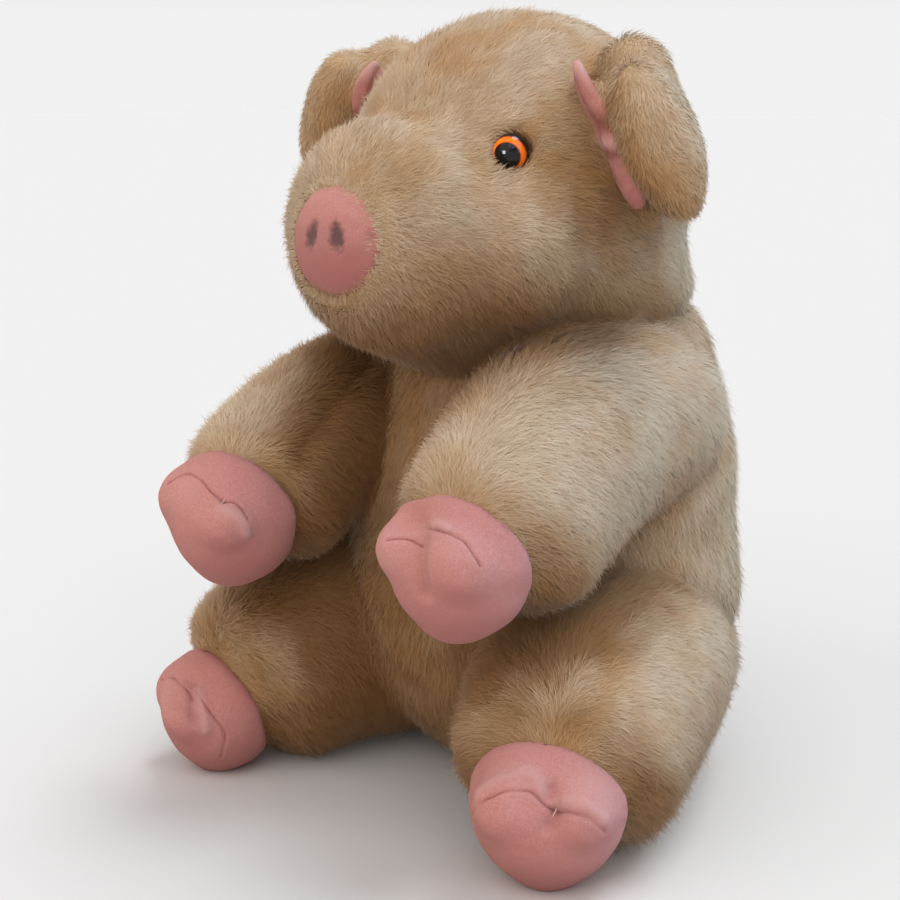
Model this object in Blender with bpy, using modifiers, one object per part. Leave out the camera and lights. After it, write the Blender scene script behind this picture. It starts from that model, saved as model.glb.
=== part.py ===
"""A seated plush pig, modelled at its real size as the pieces it is sewn from.

The outer surface of every furry piece is where the tips of its pile reach. The pig faces -Y, its
left is +X and it sits on z = 0. Metres, +Z up. Each piece starts as overlapping stuffed lumps,
which are blended into one soft body; where two pieces are sewn together the one that is pushed in
is cut back to its neighbour, less a small gap.
"""

import math

import bmesh
import bpy
from mathutils import Euler, Matrix, Vector

# The gap left where one piece meets another, and the height at which the seat and feet are cut flat
GAP = 0.0004
FLOOR = 0.0035

# The head sits on the trunk, turned a little to the pig's right
HEAD_CENTRE = Vector((0.0, -0.0153, 0.2105))
HEAD_TURN = -6.5
HEAD_NOD = 2.0

# Paths run from inside the trunk to the cuff; the radii are those of the pile's tips
ARMS = {
    "left": (
        [(0.034, 0.000, 0.132), (0.046, -0.050, 0.142), (0.050, -0.090, 0.110)],
        [0.040, 0.037, 0.0335],
    ),
    "right": (
        [(-0.042, 0.000, 0.132), (-0.057, -0.046, 0.140), (-0.053, -0.090, 0.108)],
        [0.035, 0.030, 0.031],
    ),
}
LEGS = {
    "left": (
        [(0.030, 0.010, 0.045), (0.058, -0.045, 0.055), (0.069, -0.078, 0.036)],
        [0.044, 0.043, 0.038],
    ),
    "right": (
        [(-0.030, 0.010, 0.045), (-0.059, -0.042, 0.055), (-0.069, -0.075, 0.034)],
        [0.044, 0.042, 0.037],
    ),
}

# Hooves: centre, radius, then pitch, roll and turn in degrees of the toes' direction
FORE_HOOVES = {
    "left": ((0.050, -0.107, 0.104), 0.0225, (8, 8, 0)),
    "right": ((-0.050, -0.107, 0.103), 0.0225, (8, 14, -6)),
}
HIND_HOOVES = {
    "left": ((0.075, -0.095, 0.028), 0.0238, (10, 0, 30)),
    "right": ((-0.073, -0.095, 0.0250), 0.0218, (10, 8, -34)),
}

# Ears: centre and radii of the folded flap, for the pig's left; the right one is mirrored
FLAPS = {
    "left": ((0.0762, -0.0165, 0.0205), (0.0128, 0.0118, 0.0280)),
    "right": ((0.0770, -0.0165, 0.0235), (0.0140, 0.0118, 0.0295)),
}

COLOURS = {
    "fur": ((0.62, 0.48, 0.33), 0.9),
    "velour": ((0.80, 0.42, 0.38), 0.8),
    "eye": ((0.02, 0.012, 0.01), 0.1),
}


def clear_scene():
    for obj in list(bpy.data.objects):
        bpy.data.objects.remove(obj, do_unlink=True)


def material(name):
    found = bpy.data.materials.get(name)
    if found:
        return found
    made = bpy.data.materials.new(name)
    made.use_nodes = True
    colour, roughness = COLOURS[name]
    shader = made.node_tree.nodes["Principled BSDF"]
    shader.inputs["Base Color"].default_value = (*colour, 1)
    shader.inputs["Roughness"].default_value = roughness
    return made


def turned(degrees):
    return Euler([math.radians(a) for a in degrees]).to_matrix().to_4x4()


def blob(bm, centre, radii, turn=(0, 0, 0), place=Matrix()):
    """One stuffed lump: an ellipsoid, added to bm."""
    if isinstance(radii, (int, float)):
        radii = (radii,) * 3
    matrix = place @ Matrix.Translation(centre) @ turned(turn) @ Matrix.Diagonal((*radii, 1))
    bmesh.ops.create_uvsphere(bm, u_segments=32, v_segments=20, radius=1, matrix=matrix)


def bezier(points, t):
    """The point at t along the curve that these control points draw."""
    points = [Vector(p) for p in points]
    while len(points) > 1:
        points = [a.lerp(b, t) for a, b in zip(points, points[1:])]
    return points[0]


def limb(bm, path, radii, steps=14, blunt=0.55, place=Matrix()):
    """A stuffed tube: lumps in a row along a bent path, each flattened along it to leave blunt ends."""
    for i in range(steps + 1):
        t = i / steps
        at = t * (len(radii) - 1)
        k = min(int(at), len(radii) - 2)
        radius = radii[k] + (radii[k + 1] - radii[k]) * (at - k)
        along = bezier(path, t + 0.01) - bezier(path, t - 0.01)
        turn = along.to_track_quat("Z", "Y").to_matrix().to_4x4()
        size = Matrix.Diagonal((radius, radius, radius * blunt, 1))
        matrix = place @ Matrix.Translation(bezier(path, t)) @ turn @ size
        bmesh.ops.create_uvsphere(bm, u_segments=32, v_segments=20, radius=1, matrix=matrix)


def bake(obj):
    """Gives obj the mesh that its modifiers make, and takes them off."""
    graph = bpy.context.evaluated_depsgraph_get()
    made = bpy.data.meshes.new_from_object(obj.evaluated_get(graph), depsgraph=graph)
    obj.modifiers.clear()
    old = obj.data
    obj.data = made
    bpy.data.meshes.remove(old)


def soft_form(name, bm, look, faces, voxel, smooth):
    """Blends the lumps in bm into one closed, softly rounded body of about that many triangles."""
    mesh = bpy.data.meshes.new(name)
    bm.to_mesh(mesh)
    bm.free()
    obj = bpy.data.objects.new(name, mesh)
    PIG.objects.link(obj)
    mesh.materials.append(material(look))
    remesh = obj.modifiers.new("blend", "REMESH")
    remesh.mode = "VOXEL"
    remesh.voxel_size = voxel
    relax = obj.modifiers.new("relax", "SMOOTH")
    relax.factor = 0.5
    relax.iterations = smooth
    bake(obj)
    thin_out(obj, faces)
    sit_on_floor(obj)
    return obj


def sit_on_floor(obj):
    """Cuts off whatever is below the floor and leaves a small flat there."""
    bm = bmesh.new()
    bm.from_mesh(obj.data)
    if min(v.co.z for v in bm.verts) < FLOOR:
        geometry = bm.verts[:] + bm.edges[:] + bm.faces[:]
        plane = {"plane_co": (0, 0, FLOOR), "plane_no": (0, 0, 1)}
        cut = bmesh.ops.bisect_plane(bm, geom=geometry, clear_inner=True, **plane)
        rim = [e for e in cut["geom_cut"] if isinstance(e, bmesh.types.BMEdge)]
        bmesh.ops.holes_fill(bm, edges=rim)
        bmesh.ops.triangulate(bm, faces=[f for f in bm.faces if len(f.verts) > 4])
    bm.to_mesh(obj.data)
    bm.free()


def thin_out(obj, faces):
    obj.data.calc_loop_triangles()
    ratio = faces / len(obj.data.loop_triangles)
    if ratio < 1:
        thin = obj.modifiers.new("thin", "DECIMATE")
        thin.ratio = ratio
        bake(obj)


def cut_back(obj, *neighbours):
    """Cuts obj back to its neighbours, leaving a gap of GAP around each."""
    for neighbour in neighbours:
        cutter = neighbour.copy()
        cutter.data = neighbour.data.copy()
        cutter.hide_render = True
        cutter.display_type = "WIRE"
        CUTTERS.objects.link(cutter)
        grow = cutter.modifiers.new("gap", "DISPLACE")
        grow.strength = GAP
        grow.mid_level = 0
        bake(cutter)
        cut = obj.modifiers.new("cut", "BOOLEAN")
        cut.operation = "DIFFERENCE"
        cut.solver = "EXACT"
        cut.object = cutter
        bake(obj)
        bpy.data.objects.remove(cutter, do_unlink=True)
    keep_largest(obj)


def keep_largest(obj):
    """Drops the crumbs that a cut can leave beside the body."""
    bm = bmesh.new()
    bm.from_mesh(obj.data)
    left = set(bm.verts)
    bodies = []
    while left:
        body, edge = set(), {left.pop()}
        while edge:
            body |= edge
            edge = {e.other_vert(v) for v in edge for e in v.link_edges} - body
        left -= body
        bodies.append(body)
    bodies.sort(key=len)
    for body in bodies[:-1]:
        bmesh.ops.delete(bm, geom=list(body), context="VERTS")
    bm.to_mesh(obj.data)
    bm.free()


def trunk():
    bm = bmesh.new()
    blob(bm, (0, 0.000, 0.068), (0.0755, 0.0735, 0.0715))
    blob(bm, (0, 0.003, 0.110), (0.0715, 0.0685, 0.066))
    blob(bm, (0, 0.003, 0.146), (0.0625, 0.0615, 0.046))
    return soft_form("trunk", bm, "fur", 1150, voxel=0.004, smooth=40)


def head():
    bm = bmesh.new()
    blob(bm, (0, 0.000, 0.002), (0.0610, 0.0595, 0.0595), place=HEAD_PLACE)
    blob(bm, (0, 0.000, -0.0215), (0.0600, 0.057, 0.035), place=HEAD_PLACE)
    blob(bm, (0, 0.009, -0.0340), (0.0570, 0.0560, 0.0215), place=HEAD_PLACE)
    limb(bm, [(0, -0.02, -0.018), (0, -0.055, -0.013)], [0.047, 0.037], 5, 1.0, HEAD_PLACE)
    blob(bm, (0, -0.0635, -0.010), (0.0430, 0.0230, 0.0390), place=HEAD_PLACE)
    for sign in (-1, 1):
        blob(bm, (sign * 0.027, -0.034, -0.014), (0.031, 0.034, 0.028), place=HEAD_PLACE)
    return soft_form("head", bm, "fur", 1250, voxel=0.0036, smooth=14)


def snout():
    bm = bmesh.new()
    blob(bm, (0, -0.0802, -0.0108), (0.0215, 0.0128, 0.0202), place=HEAD_PLACE)
    return soft_form("snout", bm, "velour", 260, voxel=0.0018, smooth=4)


def eye(side, sign):
    bm = bmesh.new()
    blob(bm, (sign * 0.0372, -0.0410, 0.0170), 0.0058, place=HEAD_PLACE)
    return soft_form("eye_" + side, bm, "eye", 140, voxel=0.0008, smooth=2)


def ear(side, sign):
    """The furry back of the ear: a web that leaves the head's side, and the flap folded forward off it."""
    lean = (6, -sign * 24, 0)
    (out, back, up), radii = FLAPS[side]
    bm = bmesh.new()
    blob(bm, (sign * out, back, up), radii, lean, HEAD_PLACE)
    blob(bm, (sign * 0.0620, -0.0020, 0.0215), (0.0170, 0.0110, 0.0300), lean, HEAD_PLACE)
    blob(bm, (sign * 0.0560, -0.0040, 0.0400), (0.0150, 0.0110, 0.0140), lean, HEAD_PLACE)
    return soft_form("ear_" + side, bm, "fur", 340, voxel=0.0024, smooth=10)


def ear_lining(side, sign):
    """The strip of lining that shows between the head's fur and the folded flap."""
    seam = HEAD_PLACE @ Matrix.Translation((sign * 0.0585, -0.0165, 0.0215)) @ turned((12, -sign * 24, 0))
    bm = bmesh.new()
    blob(bm, (0, 0, 0), (0.0066, 0.0045, 0.0280), (0, 0, -sign * 36), seam)
    return soft_form("ear_lining_" + side, bm, "velour", 170, voxel=0.0014, smooth=3)


def hoof(name, centre, radius, turn, faces=360):
    """A stuffed velour bag with two toes at the top of its front and a heel below."""
    place = Matrix.Translation(centre) @ turned(turn) @ Matrix.Scale(radius, 4)
    bm = bmesh.new()
    blob(bm, (0, 0, 0), (1.0, 0.95, 1.0), place=place)
    blob(bm, (0, -0.10, -0.45), (0.68, 0.62, 0.64), place=place)
    for sign in (-1, 1):
        blob(bm, (sign * 0.43, -0.43, 0.27), (0.48, 0.54, 0.46), (0, sign * 12, sign * 14), place)
    return soft_form(name, bm, "velour", faces, voxel=0.0016, smooth=6)


def tail():
    """A short stuffed curl, low on the back."""
    turns, steps, coil = 1.35, 40, 0.0095
    bm = bmesh.new()
    for i in range(steps + 1):
        t = i / steps
        angle = 2 * math.pi * turns * t
        centre = (coil * math.sin(angle), 0.068 + 0.024 * t, 0.046 + coil * (1 - math.cos(angle)))
        blob(bm, centre, 0.0062 - 0.0018 * t)
    return soft_form("tail", bm, "velour", 300, voxel=0.0014, smooth=3)


def limbs(side):
    """One side's arm and leg, with their hooves."""
    bm = bmesh.new()
    limb(bm, *ARMS[side])
    arm = soft_form("foreleg_" + side, bm, "fur", 440, voxel=0.003, smooth=16)
    bm = bmesh.new()
    limb(bm, *LEGS[side])
    leg = soft_form("hind_leg_" + side, bm, "fur", 480, voxel=0.003, smooth=16)
    fore = hoof("fore_hoof_" + side, *FORE_HOOVES[side])
    hind = hoof("hind_hoof_" + side, *HIND_HOOVES[side])
    return arm, leg, fore, hind


def centre_on_origin():
    """Moves everything so that the origin is the bottom centre of the bounding box."""
    points = [v.co for obj in PIG.objects for v in obj.data.vertices]
    low = [min(p[k] for p in points) for k in range(3)]
    high = [max(p[k] for p in points) for k in range(3)]
    shift = Vector((-(low[0] + high[0]) / 2, -(low[1] + high[1]) / 2, -low[2]))
    for obj in PIG.objects:
        obj.data.transform(Matrix.Translation(shift))


def build():
    the_trunk, the_head, the_snout, the_tail = trunk(), head(), snout(), tail()
    eyes = [eye("left", 1), eye("right", -1)]
    cut_back(the_trunk, the_head)
    cut_back(the_head, the_snout, *eyes)
    cut_back(the_tail, the_trunk)
    for side, sign in (("left", 1), ("right", -1)):
        arm, leg, fore, hind = limbs(side)
        cut_back(leg, the_trunk)
        cut_back(arm, the_trunk, the_head, leg)
        cut_back(fore, arm)
        cut_back(hind, leg)
        flap, lining = ear(side, sign), ear_lining(side, sign)
        cut_back(lining, the_head)
        cut_back(flap, the_head, lining)
    centre_on_origin()
    for obj in PIG.objects:
        obj.data.shade_smooth()


clear_scene()
HEAD_PLACE = Matrix.Translation(HEAD_CENTRE) @ turned((HEAD_NOD, 0, HEAD_TURN))
PIG = bpy.data.collections.new("plush_pig")
CUTTERS = bpy.data.collections.new("cutters")
bpy.context.scene.collection.children.link(PIG)
bpy.context.scene.collection.children.link(CUTTERS)
build()
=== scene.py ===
"""The looks of a sitting plush pig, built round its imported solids.

One soft skin stands for all the furry solids and lies inside them by the depth of the pile. A coat of
fine mesh tufts grows from it and ends a little past their surface. The hooves, snout, ear linings and
tail are stuffed velour, and the eyes are glossy plastic. Metres, +Z up, the pig faces -Y.
"""
import math

import bmesh
import bpy
import numpy as np
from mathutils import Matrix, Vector
from mathutils.bvhtree import BVHTree


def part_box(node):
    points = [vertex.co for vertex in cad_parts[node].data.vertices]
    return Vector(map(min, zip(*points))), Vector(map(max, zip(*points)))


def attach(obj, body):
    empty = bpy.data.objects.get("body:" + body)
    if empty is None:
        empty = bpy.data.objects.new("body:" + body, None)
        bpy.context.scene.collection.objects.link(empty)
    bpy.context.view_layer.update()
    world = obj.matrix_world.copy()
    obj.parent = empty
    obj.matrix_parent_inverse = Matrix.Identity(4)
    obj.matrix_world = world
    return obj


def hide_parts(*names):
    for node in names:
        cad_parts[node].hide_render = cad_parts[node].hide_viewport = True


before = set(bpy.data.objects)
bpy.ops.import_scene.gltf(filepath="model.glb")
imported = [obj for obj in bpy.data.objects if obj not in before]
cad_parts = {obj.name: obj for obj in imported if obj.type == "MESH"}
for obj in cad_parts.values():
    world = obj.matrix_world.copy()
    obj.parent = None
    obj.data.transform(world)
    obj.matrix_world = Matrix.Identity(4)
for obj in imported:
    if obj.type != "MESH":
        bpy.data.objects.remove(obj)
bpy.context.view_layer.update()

# Camera: what it looks at, seen from the pig's left front, a little above
LOOK_AT = Vector((-0.0179, -0.0143, 0.1145))
AZIMUTH = math.radians(39.7)
ELEVATION = math.radians(12)
DISTANCE = 0.62
LENS = 68.88

# The frame's nodes: each limb with its hoof, the solids that bear fur, and those that bear none
LIMBS = {
    "foreleg_left": "fore_hoof_left",
    "foreleg_right": "fore_hoof_right",
    "hind_leg_left": "hind_hoof_left",
    "hind_leg_right": "hind_hoof_right",
}
HOOVES = tuple(LIMBS.values())
HOOF_LIMB = {hoof: limb for limb, hoof in LIMBS.items()}
EARS = ("ear_left", "ear_right")
EYES = ("eye_left", "eye_right")
LININGS = ("ear_lining_left", "ear_lining_right")
FLESH = ("head", "trunk", *EARS, *LIMBS)
BARE = (*HOOVES, *LININGS, "snout")
DOWN = np.array([0, 0, -1.0])
FLOOR_GAP = 0.0003

# How far the skin lies inside each solid, and beneath the velour, and how much further where a seam
# parts the pile and in the crease between two solids
DEPTH = {"head": 0.0030, "trunk": 0.0034, "ear_left": 0.0014, "ear_right": 0.0004}
LIMB_DEPTH = 0.0036
VELOUR_DEPTH = 0.0026
SEAM_DEPTH = 0.0026
CREASE_DEPTH = 0.0014
SKIN_VOXEL = 0.0020

# Tufts: their length, which grows with the pile's depth, and the angles of their lower and upper halves
# to the skin, which are steeper beside velour (RIM) and for the strays, and flatter on the ears
TUFTS = 700000
TUFT_WIDTH = 0.00025
FOOT_DEPTH = 0.0006
SHORTEST = 0.0020
LENGTH_FOR_DEPTH = 1.9
EAR_LENGTH = 1.25
LIFT, LIFT_SPREAD = math.radians(47), 0.16
BEND, BEND_SPREAD = math.radians(16), 0.14
RIM_LIFT = math.radians(15)
EAR_LIFT = -math.radians(11)
DROOP = 0.12
SWERVE_SPREAD = 0.32
TWIST_SPREAD = 0.45
STRAYS = 0.06
MOST_TRIANGLES = 199000

# How strongly painted shade darkens each solid's pile where it is sheltered, and how much its tufts differ
# in tone
SHADED = {"trunk": 1.15, "hind_leg_left": 2.6, "hind_leg_right": 1.5}
MOTTLED = {"head": 1.25, "trunk": 1.2, "ear_left": 1.3, "ear_right": 1.3}
LIMB_MOTTLED = 0.85
# The marks that coat and skin share: ochre, which is partly painted shade and bounced light, and painted
# shade
OCHRE_AND_SHADE_MARKS = ("ochre_and_shade", "shade")

# A vertex is open by OPEN and by how far it is from velour, or by nothing under velour. A root between
# vertices has to be open by more than LEAST_OPEN to bear a tuft.
OPEN = 0.0003
LEAST_OPEN = 0.0002

# The seam along each limb: how strongly it parts the pile, and the corners of its path, as shares of the
# limb's half box outward, backward and up
PARTED = {"foreleg_left": 1.0, "foreleg_right": 1.0, "hind_leg_left": 0.4, "hind_leg_right": 0.0}
PARTINGS = {
    "foreleg": ((-0.45, 0.00, 0.80), (-0.65, -0.27, 0.58), (-0.72, -0.53, 0.35), (-0.77, -0.78, 0.08)),
    "hind_leg": ((0.53, -0.90, 0.19), (0.58, -0.81, 0.42), (0.43, -0.60, 0.67)),
}

# How far a hoof bulges beside its limb's pile
BULGE = {"fore_hoof_left": 0.0042}
USUAL_BULGE = 0.0030

# Sewing on the hooves, as (turn, height) in degrees round a hoof's middle: turn 0 is straight ahead
# and grows to the pig's left, height 0 is level
SEWING = {
    "fore_hoof_left": {
        "seams": [[(-32, 30), (-17, 38), (2, 37)], [(4, 53), (30, 47), (48, 36), (58, 20)]],
        "clefts": [[(2, 50), (5, 36), (9, 18), (12, -6)]],
        "toes": [(-30, 22), (36, 36)],
        "dents": [(-32, 52)],
        "ridges": [[(4, 50), (20, 54), (36, 48)]],
        "stitches": [],
    },
    "hind_hoof_left": {
        "seams": [[(-32, 10), (-12, 32), (20, 46), (40, 36), (50, 29)], [(52, 28), (68, 24), (86, 8)]],
        "clefts": [[(48, 48), (51, 29), (47, 18)]],
        "toes": [(2, 52), (80, 34)],
        "dents": [],
        "ridges": [[(-30, 28), (-8, 50), (18, 60), (38, 50)], [(54, 36), (70, 32), (84, 18)]],
        "stitches": [(51, 29)],
    },
    "fore_hoof_right": {
        "seams": [[(-38, 37), (-23, 54), (12, 53), (32, 41), (45, 32)], [(45, 32), (58, 27), (65, 15)]],
        "clefts": [],
        "toes": [(-8, 38)],
        "dents": [],
        "ridges": [[(45, 24), (58, 16), (64, 4)]],
        "stitches": [(45, 32)],
    },
    "hind_hoof_right": {
        "seams": [[(-66, 30), (-30, 50), (18, 42), (28, 33)], [(32, 42), (50, 20), (64, -4), (62, -34)]],
        "clefts": [[(26, 50), (30, 32), (34, 14)]],
        "toes": [(-20, 32)],
        "dents": [],
        "ridges": [[(34, 42), (40, 22), (46, 2)]],
        "stitches": [],
    },
}

# What the sewing does to a hoof: how far it pushes the velour out and over what width, then the mark it
# leaves, as a name, a strength and a width
MODELLED = {
    # painted highlights on the raised toes and ridges
    "toes": (0.0013, 0.0070, "pale", 0.25, 0.0070),
    "ridges": (0.0009, 0.0018, "pale", 0.45, 0.0020),
    # painted shade in the dents, clefts and pinches
    "dents": (-0.0036, 0.0065, "painted_hollow_shade", 0.0, 0.0065),
    "clefts": (-0.0020, 0.0022, "painted_hollow_shade", 0.40, 0.0040),
    "stitches": (-0.0016, 0.0018, "painted_hollow_shade", 0.0, 0.0018),
}


# ---------------------------------------------------------------- measures taken from the frame

def centre(node):
    low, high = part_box(node)
    return (low + high) / 2


def half_box(node):
    low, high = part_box(node)
    return (high - low) / 2


def side_of(node):
    """1 for a node on the pig's left, -1 for one on its right."""
    return 1 if node.endswith("left") else -1


def is_on(label, *nodes):
    """Whether each point, labelled with its place in FLESH, belongs to one of these solids."""
    return np.isin(label, [FLESH.index(node) for node in nodes])


def unit(v):
    """The rows of v at length 1."""
    return v / np.maximum(np.linalg.norm(v, axis=-1, keepdims=True), 1e-12)


def smooth_step(x, low, high):
    t = np.clip((x - low) / (high - low), 0, 1)
    return t * t * (3 - 2 * t)


def hump(x, width):
    """1 at x = 0, falling away softly over this width."""
    return np.exp(-(x / width) ** 2)


def mesh_of(node):
    """The mesh of a CAD node, by name, or of a piece."""
    return (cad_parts[node] if isinstance(node, str) else node).data


def tree_of(*nodes):
    """A search tree over the surfaces of these nodes or pieces."""
    points, faces = [], []
    for node in nodes:
        mesh = mesh_of(node)
        start = len(points)
        points.extend(v.co.copy() for v in mesh.vertices)
        faces.extend([start + i for i in p.vertices] for p in mesh.polygons)
    return BVHTree.FromPolygons(points, faces)


def nearest(points, *nodes):
    """(places, distances): the place on these nodes' surfaces nearest to each point, and how far it is."""
    tree = tree_of(*nodes)
    found = [tree.find_nearest(p) for p in points]
    return np.array([tuple(f[0]) for f in found]), np.array([f[3] for f in found])


def distance(points, *nodes):
    return nearest(points, *nodes)[1]


def inside(points, *nodes):
    """Whether each point is inside one of these: an upward ray from it leaves once more than it enters."""
    found = np.zeros(len(points), bool)
    up = Vector((0, 0, 1))
    for node in nodes:
        tree = tree_of(node)
        shape = arrays(mesh_of(node))[0]
        low, high = shape.min(axis=0), shape.max(axis=0)
        for i in np.flatnonzero(((points > low) & (points < high)).all(axis=1)):
            at, crossings = Vector(points[i]), 0
            hit = tree.ray_cast(at, up)[0]
            while hit:
                crossings += 1
                hit = tree.ray_cast(hit + up * 1e-6, up)[0]
            found[i] |= crossings % 2 == 1
    return found


def heading(turn, height):
    """The direction at this turn from ahead towards the pig's left, and this height, in degrees."""
    turn, height = math.radians(turn), math.radians(height)
    level = math.cos(height)
    return Vector((math.sin(turn) * level, -math.cos(turn) * level, math.sin(height)))


def path_through(corners, steps=10):
    """Points along a smooth curve through these corners."""
    corners = [Vector(c) for c in corners]
    ends = [2 * corners[0] - corners[1], *corners, 2 * corners[-1] - corners[-2]]
    found = []
    for a, b, c, d in zip(ends, ends[1:], ends[2:], ends[3:]):
        for k in range(steps):
            t = k / steps
            curve = 2 * b + (c - a) * t
            curve += (2 * a - 5 * b + 4 * c - d) * t**2
            curve += (3 * b - 3 * c + d - a) * t**3
            found.append(curve / 2)
    return np.array([tuple(p) for p in (*found, corners[-1])])


def off_path(points, path):
    """(distances, places): how far each point is from the path, and the nearest place on it."""
    gaps = np.full(len(points), np.inf)
    places = np.zeros_like(points)
    for a, b in zip(path, path[1:]):
        share = np.clip((points - a) @ (b - a) / ((b - a) @ (b - a)), 0, 1)
        at = a + share[:, None] * (b - a)
        gap = np.linalg.norm(points - at, axis=1)
        near = gap < gaps
        gaps[near], places[near] = gap[near], at[near]
    return gaps, places


# The head's own directions, as vectors and as arrays
LEFTWARD = (centre("eye_left") - centre("eye_right")).normalized()
BACKWARD = Vector((0, 0, 1)).cross(LEFTWARD)
LEFT, BACK = np.array(LEFTWARD), np.array(BACKWARD)


# ---------------------------------------------------------------- mesh helpers

def arrays(mesh):
    """(points, normals, edges) of a mesh."""
    points = np.empty(len(mesh.vertices) * 3, np.float32)
    mesh.vertices.foreach_get("co", points)
    normals = np.empty(len(mesh.vertices) * 3, np.float32)
    mesh.vertices.foreach_get("normal", normals)
    edges = np.empty(len(mesh.edges) * 2, np.int32)
    mesh.edges.foreach_get("vertices", edges)
    return points.reshape(-1, 3).astype(float), normals.reshape(-1, 3).astype(float), edges.reshape(-1, 2)


def put_points(mesh, points):
    mesh.vertices.foreach_set("co", points.astype(np.float32).ravel())
    mesh.update()


def give(mesh, name, values):
    """A value for each vertex, which a material can read."""
    mesh.attributes.new(name, "FLOAT", "POINT").data.foreach_set("value", values.astype(np.float32))


def spread(values, edges, times):
    """values, one row per vertex, averaged with their neighbours that many times."""
    if values.ndim == 1:
        return spread(values[:, None], edges, times)[:, 0]
    count = len(values)
    degree = np.bincount(edges.ravel(), minlength=count)[:, None]
    for _ in range(times):
        total = np.empty_like(values)
        for k in range(values.shape[1]):
            total[:, k] = np.bincount(edges[:, 0], values[edges[:, 1], k], count)
            total[:, k] += np.bincount(edges[:, 1], values[edges[:, 0], k], count)
        values = 0.5 * values + 0.5 * total / np.maximum(degree, 1)
    return values


def lattice_noise(points, size, seed):
    """Smooth noise from -1 to 1, with bumps about size across."""
    p = points / size
    cell = np.floor(p).astype(np.int64)
    f = p - cell
    f = f * f * (3 - 2 * f)
    total = np.zeros(len(p))
    for corner in np.ndindex(2, 2, 2):
        x, y, z = (cell + corner).T
        key = x * 73856093 ^ y * 19349663 ^ z * 83492791
        key = (key + seed * 2654435761) & 0x7FFFFFFF
        key = (key ^ (key >> 13)) * 1274126177 & 0x7FFFFFFF
        value = (key ^ (key >> 16)) / 0x7FFFFFFF * 2 - 1
        total += value * np.where(corner, f, 1 - f).prod(axis=1)
    return total


def evaluated(obj):
    """Gives obj the mesh that its modifiers make, and takes them off."""
    graph = bpy.context.evaluated_depsgraph_get()
    made = bpy.data.meshes.new_from_object(obj.evaluated_get(graph), depsgraph=graph)
    obj.modifiers.clear()
    old = obj.data
    obj.data = made
    bpy.data.meshes.remove(old)


def largest_body(mesh):
    """Drops whatever isn't joined to the mesh's largest body."""
    bm = bmesh.new()
    bm.from_mesh(mesh)
    left, bodies = set(bm.verts), []
    while left:
        body, rim = set(), {left.pop()}
        while rim:
            body |= rim
            rim = {e.other_vert(v) for v in rim for e in v.link_edges} - body
        left -= body
        bodies.append(body)
    bodies.sort(key=len)
    for body in bodies[:-1]:
        bmesh.ops.delete(bm, geom=list(body), context="VERTS")
    bm.to_mesh(mesh)
    bm.free()


def new_object(name, mesh):
    obj = bpy.data.objects.new(name, mesh)
    bpy.context.scene.collection.objects.link(obj)
    return obj


def object_from(bm, name):
    """A new object with the mesh of bm, which is freed."""
    mesh = bpy.data.meshes.new(name)
    bm.to_mesh(mesh)
    bm.free()
    return new_object(name, mesh)


def soft_copy(name, nodes, voxel, relax):
    """A new object: these nodes' solids joined into one fine, softly rounded body."""
    bm = bmesh.new()
    for node in nodes:
        bm.from_mesh(mesh_of(node))
    bmesh.ops.remove_doubles(bm, verts=bm.verts, dist=1e-6)
    obj = object_from(bm, name)
    remesh = obj.modifiers.new("blend", "REMESH")
    remesh.mode = "VOXEL"
    remesh.voxel_size = voxel
    smooth = obj.modifiers.new("relax", "SMOOTH")
    smooth.factor = 0.5
    smooth.iterations = relax
    evaluated(obj)
    largest_body(obj.data)
    obj.data.shade_smooth()
    return obj


def finish_piece(obj, look, slot, *nodes):
    """Dresses obj with its look, hangs it on the root and hides the nodes it stands for; slot is not used.
    """
    obj.data.materials.clear()
    obj.data.materials.append(look)
    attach(obj, "root")
    if nodes:
        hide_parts(*nodes)
    return obj


# ---------------------------------------------------------------- skin and its fields

def parting_of(limb):
    """The path of the seam along this limb."""
    middle, half = centre(limb), half_box(limb)
    shares = (Vector((x * side_of(limb), y, z)) for x, y, z in PARTINGS[limb.rsplit("_", 1)[0]])
    return path_through([middle + half * share for share in shares])


def lie_on_head(points, normals):
    """Away from the snout, then back over the head, and down behind it and under the jaw."""
    out = points - np.array(centre("snout"))
    out -= (out @ BACK)[:, None] * BACK
    near = np.exp(-np.linalg.norm(out, axis=1) / 0.035)[:, None]
    behind = np.maximum(normals @ BACK, 0)[:, None]
    under = smooth_step(-normals[:, 2:], 0.1, 0.8)
    flow = BACK * (1 - behind) + unit(out) * near * 1.4
    return flow + DOWN * (0.30 + 1.0 * behind + 0.5 * under)


def lie_on_limb(limb, points):
    """Down and away from the hoof along the limb, fanned out round the hoof and apart along the seam."""
    hoof = np.array(centre(LIMBS[limb]))
    along = hoof - np.array(centre(limb))
    along /= np.linalg.norm(along)
    out = points - hoof
    reach = np.linalg.norm(out, axis=1)[:, None]
    out -= (out @ along)[:, None] * along
    near = np.exp(-np.maximum(reach - 0.022, 0) / 0.014)
    flow = unit(out) * near * 1.3 - along * 0.55 + DOWN * 0.75
    gap, place = off_path(points, parting_of(limb))
    return flow + unit(points - place) * np.exp(-gap / 0.008)[:, None] * 1.2 * PARTED[limb]


def lie_of_coat(label, points, normals):
    """The way the pile lies at each point. Flat against the ground it lies back."""
    flow = np.zeros_like(points)
    for k, node in enumerate(FLESH):
        at = label == k
        if node == "head":
            flow[at] = lie_on_head(points[at], normals[at])
        elif node in LIMBS:
            flow[at] = lie_on_limb(node, points[at])
        elif node in EARS:
            flow[at] = DOWN * 0.7 + side_of(node) * LEFT * 0.5 + BACK * 0.3
        else:
            flow[at] = DOWN + BACK * 0.15
    flat = smooth_step(-normals[:, 2:], 0.85, 0.97)
    return flow * (1 - flat) + np.array([0, 1.0, 0]) * flat


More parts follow.
